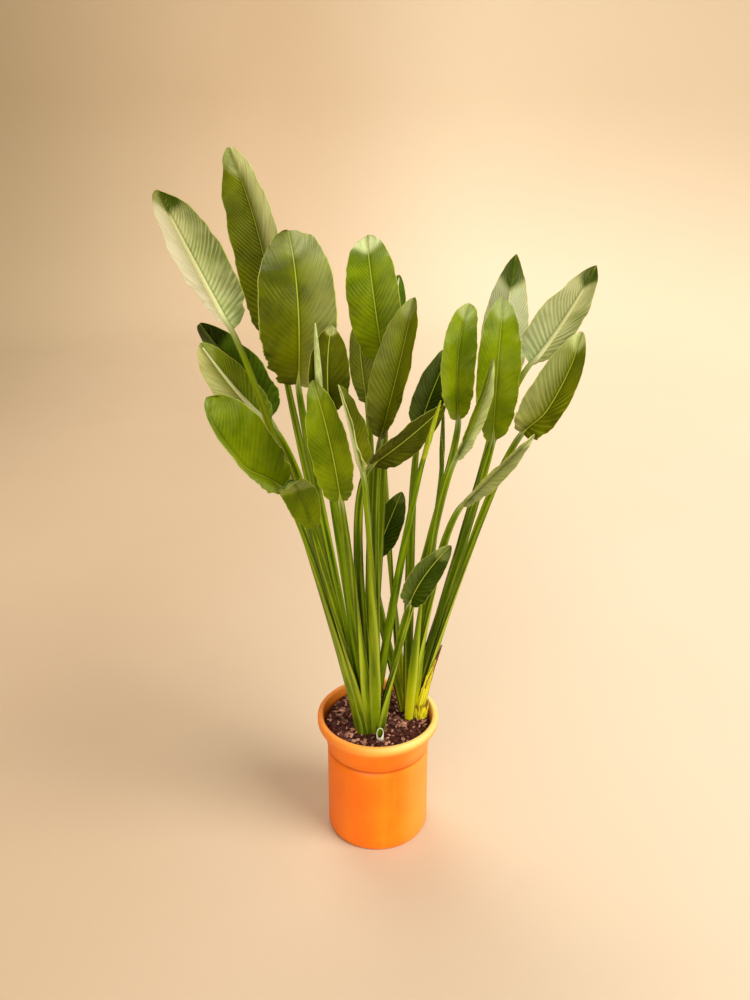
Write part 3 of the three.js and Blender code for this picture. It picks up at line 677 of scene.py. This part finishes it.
def stalk_material(name, deep, light, rib, foot):
    s = Surface(name)
    place = s.attribute("place", "Vector")
    around, along, _ = s.split(place)
    streaks = s.ramp(s.noise((5, 7, 31), place), 0.3, 0.7)
    each = s.ramp(s.noise((0, 0, 13), place, 0), 0.3, 0.7)
    s.colour = s.mix(streaks, deep, light)
    s.paint(s.times(each, 0.5), light)
    s.paint(s.attribute("yellow_foot_and_shade"), foot)
    # The keel below the blade, pale on a green base.
    s.paint(s.ramp(along, 0.95, 1.1, 0, 0.9), "#43590a")
    s.paint(s.times(s.ramp(along, 0.9, 1.15, 0, 0.9), s.attribute("pale")), rib)
    # A lit edge on both sides of the round back, and shade where stalks stand against each other.
    low = s.ramp(along, 0.85, 0.25, 0.25, 1)
    s.paint(s.times(s.band(around, 0.05, 0.34, 0.42, 0.49), s.times(low, 0.6)), "#b9c63c")
    s.paint(s.times(s.band(around, 0.45, 0.54, 0.64, 0.74), s.times(low, 0.9)), "#121c00")
    # A painted highlight along both rims of the channel, fading out towards the neck.
    wing = s.band(around, 0.66, 0.74, 0.78, 0.86)
    s.paint(s.times(wing, s.ramp(along, 0.75, 1, 0.18, 0)), "#b3ba58")
    # Painted shade down the middle of the channel.
    s.paint(s.ramp(around, 0.84, 0.95, 0, 0.5), deep)
    # Above the neck its channel is the midrib as the blade's upper side shows it.
    upper_line = s.mix(s.attribute("rib"), "#66720a", "#a3b030")
    s.paint(s.times(s.ramp(around, 0.62, 0.76), s.ramp(along, 0.97, 1.06, 0, 0.92)), upper_line)
    # Painted shade on the front clump's feet, where the value is below zero.
    s.paint(s.times(s.attribute("yellow_foot_and_shade"), -1, clamp=True), "#1c3800")
    s.paint(s.ramp(s.noise(210, detail=1), 0.68, 0.76, 0, 0.2), foot)
    normal = s.bump(s.noise((26, 3, 31), place, 2), 0.0007, 0.4)
    return s.finish(s.uneven(45, 0.2, 0.34), normal, Specular_IOR_Level=0.2, Specular_Tint=LEAF_GLOSS)


def spear_material(name, deep, light):
    s = Surface(name)
    place = s.attribute("place", "Vector")
    winding, along, _ = s.split(place)
    streaks = s.ramp(s.noise((11, 9, 31), place), 0.3, 0.7)
    s.colour = s.mix(streaks, deep, light)
    s.paint(s.ramp(winding, 0.93, 0.97, 0, 0.8), "#c9c95a")
    green = s.mix(streaks, "#3c5800", "#789000")
    s.colour = s.mix(s.ramp(along, 0.98, 1.02), green, s.colour)
    normal = s.bump(s.noise((30, 6, 31), place, 2), 0.0007, 0.4)
    return s.finish(s.uneven(45, 0.2, 0.36), normal, Specular_IOR_Level=0.2, Specular_Tint=LEAF_GLOSS)


def sheath_material(name, deep, light, dry):
    s = Surface(name)
    place = s.attribute("place", "Vector")
    streaks = s.ramp(s.noise((16, 7, 31), place, 5), 0.3, 0.7)
    blotches = s.ramp(s.noise(90), 0.35, 0.65, -0.05, 0.05)
    s.colour = s.mix(streaks, deep, light)
    dried = s.ramp(s.math("ADD", s.split(place)[1], blotches), 1.34, 1.46)
    s.paint(dried, s.mix(streaks, dry, "#a8552a"))
    normal = s.bump(s.noise((40, 6, 31), place, 3), 0.0008, 0.5)
    return s.finish(s.uneven(45, 0.2, 0.45), normal, Specular_IOR_Level=0.25)


def plastic_material():
    s = Surface("pot_plastic")
    x, _, height = s.split(s.object_space())
    s.colour = s.mix(s.ramp(s.noise(9, detail=3), 0.3, 0.7), "#f47000", "#ff8402")
    flow = s.ramp(s.noise((38, 38, 5)), 0.45, 0.8)
    s.paint(s.times(flow, 0.35), "#ff961c")
    # Painted light: the lip and rim grow lighter towards the top, where the light falls.
    s.paint(s.ramp(height, 0.222, 0.262, 0, 0.8), "#ffb650")
    # Darker patches towards the bottom.
    dark_low_patches = s.ramp(s.noise(16, detail=8, roughness=0.7), 0.52, 0.75)
    s.paint(s.times(dark_low_patches, s.ramp(height, 0, 0.11, 0.75, 0)), "#b65a10")
    # Painted shade on the left and painted light on the right, with a painted highlight on the right of
    # the rim.
    s.paint(s.ramp(x, 0, -0.1, 0, 0.6), "#d86400")
    s.paint(s.ramp(x, 0.03, 0.1, 0, 0.6), "#ffb04a")
    s.paint(s.times(s.ramp(x, -0.04, 0.07), s.ramp(height, 0.247, 0.257, 0, 0.6)), "#ffe58e")
    # Painted shade as dark lines in the groove and under the lip.
    for low, high, depth in ((0.1855, 0.1935, 0.75), (0.2375, 0.2425, 0.6)):
        middle = 0.5 * (low + high)
        s.paint(s.band(height, low, middle, middle, high, depth), "#a84800")
    scuffs = s.ramp(s.noise((160, 160, 700), detail=3), 0.66, 0.72)
    s.paint(s.times(scuffs, 0.3), "#ffb45c")
    normal = s.bump(s.noise(900, detail=2), 0.0002, 0.2)
    normal = s.bump(s.noise(14, detail=2), 0.0015, 0.35, normal)
    return s.finish(s.uneven(70, 0.2, 0.34), normal, Specular_IOR_Level=0.28)


def bark_material(name, deep, middle, light):
    s = Surface(name)
    grain = s.ramp(s.noise(260, detail=6, roughness=0.65), 0.3, 0.7)
    s.colour = s.mix(grain, deep, middle)
    s.paint(s.ramp(s.attribute("tone"), 0.36, 1, 0, 0.9), light)
    normal = s.bump(s.noise(500, detail=6, roughness=0.7), 0.0012, 0.6)
    return s.finish(s.uneven(120, 0.25, 0.7), normal, Specular_IOR_Level=0.3)


# Upper side and its light patches, lower side and its light patches, veins, pale for painted light, sheen
# and paler leaves, and dark for painted shade, darker leaves and furrows.
LEAF_COLOURS = dict(
    olive="#414a00 #6a7200 #586c04 #74861a #a2aa30 #dce29a #161c00",
    bright="#4e6400 #7a8c00 #5a7400 #7c8c14 #acae20 #d6dc98 #243000",
    dark="#1c2e00 #364a00 #3e5a02 #587814 #667a24 #b2c068 #050a00",
    pale="#465804 #647818 #a2b464 #ccd898 #e8eecc #f2f6dc #3a5200",
)
SPEAR_COLOURS = dict(pale="#8d9f55 #c0cb8e", bright="#7c9108 #a5b020", dark="#3a520c #5c7218")
LEAF_MATERIALS = {tone: leaf_material("leaf_" + tone, *colours.split())
                  for tone, colours in LEAF_COLOURS.items()}
SPEAR_MATERIALS = {tone: spear_material("spear_" + tone, *colours.split())
                   for tone, colours in SPEAR_COLOURS.items()}
STALK_MATERIAL = stalk_material("stalk", "#284200", "#88a000", "#e4eab2", "#d6cc06")
POT_MATERIAL = plastic_material()
BARK_MATERIAL = bark_material("bark_mix", "#1a0704", "#5c2412", "#e0a284")
SHEATH_MATERIAL = sheath_material("dried_sheath", "#a09c04", "#f6ec28", "#4c1e0c")
CUT_MATERIAL = spear_material("cut_base", "#e6e8c8", "#fbfbee")

# -------- pot
POT_OUTLINE = [
    (0, 0), (96, 0), (100.2, 1.8), (102, 6), (101.6, 60), (101, 186), (98.3, 188.6), (98.1, 191.4),
    (101.8, 194.8), (104.5, 215.5), (108.8, 233.4), (110.6, 240.6), (113.5, 241.6), (117, 242),
    (119.2, 244), (120, 247.5), (120, 255.5), (119.2, 259), (117, 261.4), (114, 262), (111.5, 262),
    (109.4, 260.6), (108.5, 258), (108, 241), (105.8, 233.4), (101.5, 215.5), (96.4, 190),
    (97.4, 11), (95, 6.6), (90, 5), (0, 5),
]


def pot_piece():
    # Long straight stretches get points between, so that the wall can have its slight waves.
    outline, fine = np.array(POT_OUTLINE, float), []
    for a, b in zip(outline[:-1], outline[1:]):
        steps = max(1, int(np.linalg.norm(b - a) / 14))
        fine += [a + (b - a) * k / steps for k in range(steps)]
    r, z = np.hsplit(np.array(fine[1:]), 2)
    angles = circle(160)
    wave = 0.35 * np.sin(2 * angles + 0.6) + 0.2 * np.sin(3 * angles + 2.0) + 0.12 * np.sin(7 * angles)
    wave = wave * (r > 95) * smooth(2, 30, z)
    ring = np.stack([(r + wave) * np.cos(angles), (r + wave) * np.sin(angles), z + 0 * angles], -1)
    piece = build_mesh("pot_shell", *fanned(ring, [0, 0, 0], [0, 0, 5]))
    out, count = DRAIN_HOLES["from_middle"] * MM, DRAIN_HOLES["count"]
    for index in range(count):
        turn = TURN * index / count
        bpy.ops.mesh.primitive_cylinder_add(
            vertices=32, radius=DRAIN_HOLES["radius"] * MM, depth=30 * MM,
            location=(out * math.cos(turn), out * math.sin(turn), 0))
        drill = bpy.context.object
        cut = piece.modifiers.new("drain", "BOOLEAN")
        cut.operation, cut.object, cut.solver = "DIFFERENCE", drill, "EXACT"
        bpy.context.view_layer.objects.active = piece
        bpy.ops.object.modifier_apply(modifier=cut.name)
        bpy.data.objects.remove(drill)
    finish_piece(piece, POT_MATERIAL, "pot_plastic", "pot", "pot_lip")


# -------- bark mix
def soil_height(x, y):
    """Height of the top of the mix, in mm: a low dome with lumps, lower along the wall."""
    r = np.hypot(x, y)
    dome = SOIL_HEIGHT + 3 * (1 - (r / 104) ** 2)
    lumps = 1.1 * np.sin(x / 9.0) * np.cos(y / 7.0) + 0.9 * np.sin(x / 4.1 + 1.0) * np.sin(y / 3.7)
    return dome + lumps - 4 * smooth(96, 106, r)


def soil_piece():
    angles, rings = circle(120), []
    top = [(radius, None) for radius in np.linspace(2.2, 104.6, 46)]
    wall = [(104.4, 236), (101, 212), (96, 190), (96.5, 12), (90, 5.4)]
    for radius, height in (top + wall)[::-1]:
        x, y = radius * np.cos(angles), radius * np.sin(angles)
        rings.append(np.stack([x, y, soil_height(x, y) if height is None else height + 0 * x], -1))
    points, faces = fanned(np.array(rings), [0, 0, 5.4], [0, 0, float(soil_height(0.0, 0.0))])
    piece = build_mesh("soil_bed", points, faces, dict(tone=np.full(len(points), 0.2)))
    finish_piece(piece, BARK_MATERIAL, "bark_mix", "soil")


def turning(first, second, angle):
    """A matrix that turns the first axis towards the second."""
    matrix = np.eye(3)
    matrix[first, first] = matrix[second, second] = math.cos(angle)
    matrix[first, second], matrix[second, first] = -math.sin(angle), math.sin(angle)
    return matrix


def chip_faces():
    """Quads of a chip's two layers of 4 x 5 points, and of the rim between them."""
    upper = [[k, k + 1, k + 6, k + 5] for b in range(3) for k in range(5 * b, 5 * b + 4)]
    lower = [[20 + k for k in quad[::-1]] for quad in upper]
    rim = [0, 1, 2, 3, 4, 9, 14, 19, 18, 17, 16, 15, 10, 5]
    return np.array(upper + lower + [[a, 20 + a, 20 + b, b] for a, b in zip(rim, rim[1:] + rim[:1])])


def chip_piece():
    """Bark chips strewn over the mix: each a small, uneven, bent slab."""
    source = np.random.default_rng(5)
    feet = np.array([huddled(leaf["foot"], clump) for clump, leaves in CLUMPS for leaf in leaves])
    b, a = np.divmod(np.arange(20), 5)
    px, py, layer = a / 2 - 1, b / 1.5 - 1, np.array([[1], [-1]])
    taper = 1 - 0.3 * np.abs(px) * (np.abs(py) > 0.5)
    corner = 1 - 0.45 * (np.abs(px) > 0.9) - 0.25 * (np.abs(py) > 0.9)
    chips, tones = [], []
    while len(chips) < CHIPS["count"]:
        radius, turn = CHIPS["spread"] * math.sqrt(source.uniform()), source.uniform(0, TURN)
        x, y = radius * math.cos(turn), radius * math.sin(turn)
        if np.min(np.hypot(feet[:, 0] - x, feet[:, 1] - y)) < CHIPS["from_stalks"]:
            continue
        long = source.choice(CHIPS["lengths"], p=CHIPS["shares"]) * source.uniform(0.8, 1.25)
        wide, thick = long * source.uniform(0.4, 0.75), long * source.uniform(0.12, 0.25) + 0.5
        if radius + long / 2 > CHIPS["reach"]:
            continue
        heading, pitch, roll = source.uniform(0, TURN), source.normal(0, 0.25), source.normal(0, 0.3)
        bend = source.normal(0, 0.12)
        uneven = source.normal(0, 0.1, (2, 5, 4))[:, a, b]
        slab = np.stack([0.5 * long * px * (1 + 0.5 * uneven),
                         0.5 * wide * py * taper * (1 + uneven),
                         layer * 0.5 * thick * corner * (1 + uneven) + bend * long * (px * px - 0.4)], -1)
        turned = turning(0, 1, heading) @ turning(0, 2, pitch) @ turning(1, 2, roll)
        rest = soil_height(x, y) + source.uniform(-0.2, 1.6)
        chips.append(slab.reshape(-1, 3) @ turned.T + np.array([x, y, rest]))
        tones.append(source.beta(1.1, 1.5))
    size = len(chips[0])
    faces = chip_faces() + (size * np.arange(len(chips)))[:, None, None]
    piece = build_mesh("bark_chips", np.concatenate(chips), faces.reshape(-1, 4),
                       dict(tone=np.repeat(tones, size)))
    finish_piece(piece, BARK_MATERIAL, "bark_mix")


# -------- remains of old leaves
def torn_strip(start, stop, middle, arc, tongue, seed):
    """Outer and inner points of a thin strip on the outer side of a stalk, from start to stop."""
    path, ups, tangents = stalk_course(REAR_LEAVES[6], "rear")
    places = np.linspace(start, stop, 30)
    halves = stalk_halves(places)
    level, share = np.linspace(0, 1, 30)[:, None], np.linspace(-0.5, 0.5, 22)
    narrow = (np.maximum(0.04, (1 - level) ** 0.7) if tongue
              else 0.15 + 0.85 * np.sin(math.pi * (0.5 * level + 0.5)) ** 0.8)
    jag = 0.10 * wander(level * 90, seed, 13) + 0.05 * wander(level * 90, seed + 1, 5)
    angle = np.radians(middle + arc * share * (narrow + jag)) + 0.12 * wander(level * 90, seed + 2, 60)
    layers = []
    for extra in (1.5, 0.3):
        grow = extra + 0.5 * level + 0.35 * np.sin(share * 40) + 1.1 * np.abs(2 * share) ** 4
        x, y = (halves[:, :1] + grow) * np.cos(angle), (halves[:, 1:] + grow) * np.sin(angle)
        layers.append(ring_points(at(path, places), at(ups, places), at(tangents, places), x, y))
    return layers


def torn_ring():
    """Outer and inner points of a thin shell with a ragged top, at the foot of the rear clump."""
    share, level = np.linspace(0, 1, 44), np.linspace(0, 1, 18)[:, None]
    turn = np.radians(-125 + 150 * share)
    tear = 9 * wander(share * 60, 4, 17) + 5 * wander(share * 60, 9, 6)
    top = SOIL_HEIGHT + 32 + tear
    z = (SOIL_HEIGHT - 7) + (top - SOIL_HEIGHT + 7) * level
    flare = 3.2 * level ** 2 + 0.7 * wander(share * 60 + level * 9, 12, 14) * level
    wrinkle = 0.35 * np.sin(share * 70)
    return [np.stack([82 + (15.5 + grow) * np.cos(turn), 8 + (10.5 + grow) * np.sin(turn), z], -1)
            for grow in (extra + flare + wrinkle for extra in (1.3, 0.2))]


def sheath_piece():
    """A torn, drying sheath: its ragged ring, and two strips of it up a stalk."""
    shells = (
        (torn_ring(), 1.1, 1.4),
        (torn_strip(0.0, 0.3, -132, 230, True, 31), 1.1, 1.34),
        (torn_strip(0.19, 0.34, -92, 110, False, 37), 1.55, 1.7),
    )
    points, faces, places = [], [], []
    for (outer, inner), fresh, dry in shells:
        ring = np.concatenate([outer, inner[:, ::-1]], axis=1)
        rows, sides = ring.shape[:2]
        quads = ring_faces(rows, sides)[0].tolist() + flat_ends(rows, sides, sides - 1, sides // 2 - 1)
        faces += (np.array(quads) + len(points)).tolist()
        points += ring.reshape(-1, 3).tolist()
        across = np.linspace(0, 0.9, sides // 2)
        places += per_point((rows, sides), np.concatenate([across, across[::-1]]),
                            np.linspace(fresh, dry, rows)[:, None], 3.1 + fresh).tolist()
    piece = build_mesh("torn_sheath", points, faces, dict(place=np.array(places)))
    finish_piece(piece, SHEATH_MATERIAL, "dried_sheath", "old_sheath")


def stub_piece():
    """The hollow base of a leaf that was cut off: an oval tube with a thin, uneven wall."""
    outline = [(0.0, -8), (0.0, 0), (0.1, 6), (0.0, 12), (-0.2, 16), (-0.7, 17.6), (-1.2, 17.4),
               (-1.6, 16), (-1.8, 10), (-2.0, 4)]
    inside = 7              # from this place in the outline on, it runs down inside
    inwards, height = np.hsplit(np.array(outline, float), 2)
    turn, above = circle(36), np.maximum(0, height)
    lean = 4 * above / 18
    uneven = 0.35 * np.sin(3 * turn + 1) * above / 18
    slope = above * (0.1 + 0.5 * np.sin(turn + 0.2))
    ring = np.stack([4 + (7 + inwards + uneven) * np.cos(turn),
                     -67 - lean + (5.2 + inwards + uneven) * np.sin(turn),
                     SOIL_HEIGHT + height + slope], -1)
    along = np.where(np.arange(len(outline)) < inside, 1.2, 0.8)[:, None]
    piece = closed_tube("cut_stub", ring, dict(place=per_point(ring.shape[:2], turn / 7, along, 1.7)))
    finish_piece(piece, CUT_MATERIAL, "cut_base", "cut_leaf_base")


# -------- making the object
pot_piece()
soil_piece()
chip_piece()
for clump, leaves in CLUMPS:
    for index, leaf in enumerate(leaves):
        name = f"{clump}_leaf_{index + 1:02d}"
        stalk_piece(name + "_stalk", leaf, clump, SEEDS[clump] + index)
        blade_piece(name + "_blade", leaf, SEEDS[clump] + index)
for index, spear in enumerate(SPEARS):
    spear_piece(*spear, SEEDS["spears"] + index)
sheath_piece()
stub_piece()


# -------- stage, light and camera
def stage_material():
    """Matt paper, with painted light on the right and painted shade far out on the left, as in the
    photograph.
    """
    s = Surface("stage")
    x, y, _ = s.split(s.object_space())
    # Painted light and shade: lighter on the right, darker far out on the left, and blended to one colour
    # towards the back.
    s.colour = s.mix(s.ramp(x, -0.9, 1.0), "#bda384", "#e4d1b6")
    s.paint(s.times(s.noise(1.4, detail=2.0), 0.3), "#d4c1a4")
    s.paint(s.times(s.ramp(x, -0.6, -3.2), s.ramp(y, 0.2, 3.2, 0.0, 0.95)), "#82704f")
    s.paint(s.ramp(y, 1.5, 5.0, 0.0, 0.15), "#cdb99b")
    return s.finish(0.9, s.bump(s.noise(60.0), 0.0005, 0.1), Specular_IOR_Level=0.1)


def stage_piece():
    """A pale floor that sweeps up into a wall all round, far outside every view's camera."""
    flat, sweep, top = 4600, 1500, 5300
    outline = [(3200, 0), (flat, 0)]
    outline += [(flat + sweep * math.sin(a), sweep - sweep * math.cos(a))
                for a in np.linspace(0.15, math.pi / 2, 10)]
    outline += [(flat + sweep, top)]
    angles = circle(96)
    rows = [np.stack([r * np.cos(angles), r * np.sin(angles), z + 0 * angles], -1) for r, z in outline]
    points = np.array(rows).reshape(-1, 3).tolist() + [[0, 0, 0]]
    faces = ring_faces(len(rows), len(angles))[0][:, ::-1].tolist()
    faces += [[len(points) - 1, j, (j + 1) % len(angles)] for j in range(len(angles))]
    floor = build_mesh("studio_floor", points, faces)
    floor.data.materials.append(stage_material())
    floor.visible_shadow = False


def soft_sun(name, place, strength, spread, colour):
    light = bpy.data.lights.new(name, "SUN")
    light.energy, light.angle, light.color = strength, math.radians(spread), colour
    lamp = bpy.data.objects.new(name, light)
    lamp.location = place
    lamp.rotation_euler = (-Vector(place)).to_track_quat("-Z", "Y").to_euler()
    bpy.context.scene.collection.objects.link(lamp)


stage_piece()
soft_sun("key", (2.7, -1.5, 3.3), 2.8, 34, (1.0, 0.99, 0.965))
soft_sun("top", (-0.7, 1.6, 2.9), 1.1, 30, (1.0, 0.995, 0.98))
soft_sun("fill", (-0.9, -3.0, 0.7), 1.45, 40, (0.98, 1.0, 0.96))

world = bpy.data.worlds.new("studio")
world.use_nodes = True
background = world.node_tree.nodes["Background"].inputs
background["Color"].default_value = hex_colour("#faf8f4")
background["Strength"].default_value = 0.3
bpy.context.scene.world = world
bpy.context.scene.view_settings.view_transform = "Standard"

camera_data = bpy.data.cameras.new("photo_view")
camera_data.lens, camera_data.sensor_width = 32.6, 36
camera_data.clip_start, camera_data.clip_end = 0.01, 60
camera = bpy.data.objects.new("photo_view", camera_data)
camera.location = (-0.0055, -1.5, 1.353)
camera.rotation_euler = (math.radians(67.1), 0, 0)
bpy.context.scene.collection.objects.link(camera)
bpy.context.scene.camera = camera
